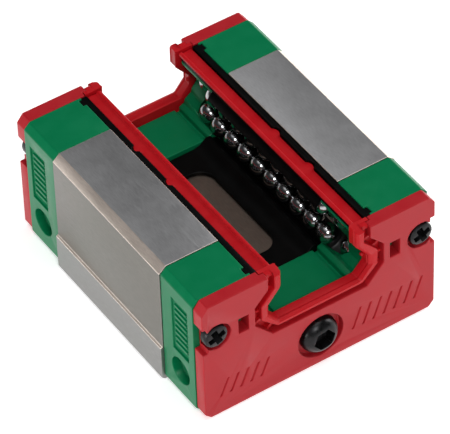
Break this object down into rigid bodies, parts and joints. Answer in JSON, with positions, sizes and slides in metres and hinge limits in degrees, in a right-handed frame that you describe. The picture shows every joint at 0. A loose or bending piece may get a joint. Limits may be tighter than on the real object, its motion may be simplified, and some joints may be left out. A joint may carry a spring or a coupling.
{
  "type": "linear guide carriage",
  "caption": "Square linear guide carriage with rail channel, recirculating ball rows, green end caps and red end seals.",
  "frame": {"origin": "centre of the mounting face, midway between the two ends", "axes": "+Z points out of the mounting face into the block and out through the open rail channel, +Y runs along the rail towards the rear end cap, +X runs across the width"},
  "size_m": [0.034, 0.0418, 0.0185],
  "materials": {
    "ground_steel": "fine ground steel with directional grinding lines",
    "cap_green": "moulded engineering plastic, faint grain",
    "guide_black": "moulded plastic",
    "plate_red": "moulded rubber-faced plastic, faint grain",
    "seal_red": "soft seal compound, satin",
    "retainer_black": "moulded plastic",
    "screw_black": "black oxide steel",
    "ball_chrome": "polished bearing steel"
  },
  "bodies": {
    "root": {"runner_block": "ground_steel", "floor_retainer": "retainer_black", "end_cap_rear": "cap_green", "end_plate_rear": "plate_red", "wiper_lip_rear": "seal_red", "grease_plug_rear": "screw_black", "cap_screw_rear_right": "screw_black", "return_guide_rear_right_low": "guide_black", "return_guide_rear_right_high": "guide_black", "cap_screw_rear_left": "screw_black", "return_guide_rear_left_low": "guide_black", "return_guide_rear_left_high": "guide_black", "end_cap_front": "cap_green", "end_plate_front": "plate_red", "wiper_lip_front": "seal_red", "grease_plug_front": "screw_black", "cap_screw_front_right": "screw_black", "return_guide_front_right_low": "guide_black", "return_guide_front_right_high": "guide_black", "cap_screw_front_left": "screw_black", "return_guide_front_left_low": "guide_black", "return_guide_front_left_high": "guide_black", "retainer_bar_right": "retainer_black", "seal_carrier_right": "retainer_black", "side_seal_right": "seal_red", "retainer_bar_left": "retainer_black", "seal_carrier_left": "retainer_black", "side_seal_left": "seal_red"},
    "loaded_right_low": {"loaded_balls_right_low": "ball_chrome"},
    "returning_right_low": {"return_balls_right_low": "ball_chrome"},
    "turning_rear_right_low": {"turn_balls_rear_right_low": "ball_chrome"},
    "turning_front_right_low": {"turn_balls_front_right_low": "ball_chrome"},
    "loaded_right_high": {"loaded_balls_right_high": "ball_chrome"},
    "returning_right_high": {"return_balls_right_high": "ball_chrome"},
    "turning_rear_right_high": {"turn_balls_rear_right_high": "ball_chrome"},
    "turning_front_right_high": {"turn_balls_front_right_high": "ball_chrome"},
    "loaded_left_low": {"loaded_balls_left_low": "ball_chrome"},
    "returning_left_low": {"return_balls_left_low": "ball_chrome"},
    "turning_rear_left_low": {"turn_balls_rear_left_low": "ball_chrome"},
    "turning_front_left_low": {"turn_balls_front_left_low": "ball_chrome"},
    "loaded_left_high": {"loaded_balls_left_high": "ball_chrome"},
    "returning_left_high": {"return_balls_left_high": "ball_chrome"},
    "turning_rear_left_high": {"turn_balls_rear_left_high": "ball_chrome"},
    "turning_front_left_high": {"turn_balls_front_left_high": "ball_chrome"}
  },
  "joints": [
    {"name": "loaded_row_right_low", "type": "slide", "parent": "root", "child": "loaded_right_low", "axis": [0, 1, 0], "range_m": [-0.001, 0.0018]},
    {"name": "return_row_right_low", "type": "slide", "parent": "root", "child": "returning_right_low", "axis": [0, 1, 0], "range_m": [-0.0018, 0.001]},
    {"name": "turn_rear_right_low", "type": "hinge", "parent": "root", "child": "turning_rear_right_low", "pos_m": [0.00875, 0.01263, 0.00988], "axis": [-0.5, 0, -0.866], "range_deg": [-25.56, 45.93]},
    {"name": "turn_front_right_low", "type": "hinge", "parent": "root", "child": "turning_front_right_low", "pos_m": [0.00875, -0.01263, 0.00988], "axis": [-0.5, 0, -0.866], "range_deg": [-25.56, 45.93]},
    {"name": "loaded_row_right_high", "type": "slide", "parent": "root", "child": "loaded_right_high", "axis": [0, 1, 0], "range_m": [-0.0019, 0.0009]},
    {"name": "return_row_right_high", "type": "slide", "parent": "root", "child": "returning_right_high", "axis": [0, 1, 0], "range_m": [-0.0009, 0.0019]},
    {"name": "turn_rear_right_high", "type": "hinge", "parent": "root", "child": "turning_rear_right_high", "pos_m": [0.00905, 0.01263, 0.0152], "axis": [0, 0, -1], "range_deg": [-48.47, 23.01]},
    {"name": "turn_front_right_high", "type": "hinge", "parent": "root", "child": "turning_front_right_high", "pos_m": [0.00905, -0.01263, 0.0152], "axis": [0, 0, -1], "range_deg": [-48.47, 23.01]},
    {"name": "loaded_row_left_low", "type": "slide", "parent": "root", "child": "loaded_left_low", "axis": [0, 1, 0], "range_m": [-0.0017, 0.0011]},
    {"name": "return_row_left_low", "type": "slide", "parent": "root", "child": "returning_left_low", "axis": [0, 1, 0], "range_m": [-0.0011, 0.0017]},
    {"name": "turn_rear_left_low", "type": "hinge", "parent": "root", "child": "turning_rear_left_low", "pos_m": [-0.00875, 0.01263, 0.00988], "axis": [-0.5, 0, 0.866], "range_deg": [-43.38, 28.1]},
    {"name": "turn_front_left_low", "type": "hinge", "parent": "root", "child": "turning_front_left_low", "pos_m": [-0.00875, -0.01263, 0.00988], "axis": [-0.5, 0, 0.866], "range_deg": [-43.38, 28.1]},
    {"name": "loaded_row_left_high", "type": "slide", "parent": "root", "child": "loaded_left_high", "axis": [0, 1, 0], "range_m": [-0.0008, 0.002]},
    {"name": "return_row_left_high", "type": "slide", "parent": "root", "child": "returning_left_high", "axis": [0, 1, 0], "range_m": [-0.002, 0.0008]},
    {"name": "turn_rear_left_high", "type": "hinge", "parent": "root", "child": "turning_rear_left_high", "pos_m": [-0.00905, 0.01263, 0.0152], "axis": [0, 0, 1], "range_deg": [-20.46, 51.02]},
    {"name": "turn_front_left_high", "type": "hinge", "parent": "root", "child": "turning_front_left_high", "pos_m": [-0.00905, -0.01263, 0.0152], "axis": [0, 0, 1], "range_deg": [-20.46, 51.02]}
  ],
  "couplings": [
    {"joint": "return_row_right_low", "follows": "loaded_row_right_low", "ratio": -1},
    {"joint": "turn_rear_right_low", "follows": "loaded_row_right_low", "rad_per_m": 444.44},
    {"joint": "turn_front_right_low", "follows": "loaded_row_right_low", "rad_per_m": 444.44},
    {"joint": "return_row_right_high", "follows": "loaded_row_right_high", "ratio": -1},
    {"joint": "turn_rear_right_high", "follows": "loaded_row_right_high", "rad_per_m": 444.44},
    {"joint": "turn_front_right_high", "follows": "loaded_row_right_high", "rad_per_m": 444.44},
    {"joint": "return_row_left_low", "follows": "loaded_row_left_low", "ratio": -1},
    {"joint": "turn_rear_left_low", "follows": "loaded_row_left_low", "rad_per_m": 444.44},
    {"joint": "turn_front_left_low", "follows": "loaded_row_left_low", "rad_per_m": 444.44},
    {"joint": "return_row_left_high", "follows": "loaded_row_left_high", "ratio": -1},
    {"joint": "turn_rear_left_high", "follows": "loaded_row_left_high", "rad_per_m": 444.44},
    {"joint": "turn_front_left_high", "follows": "loaded_row_left_high", "rad_per_m": 444.44}
  ]
}
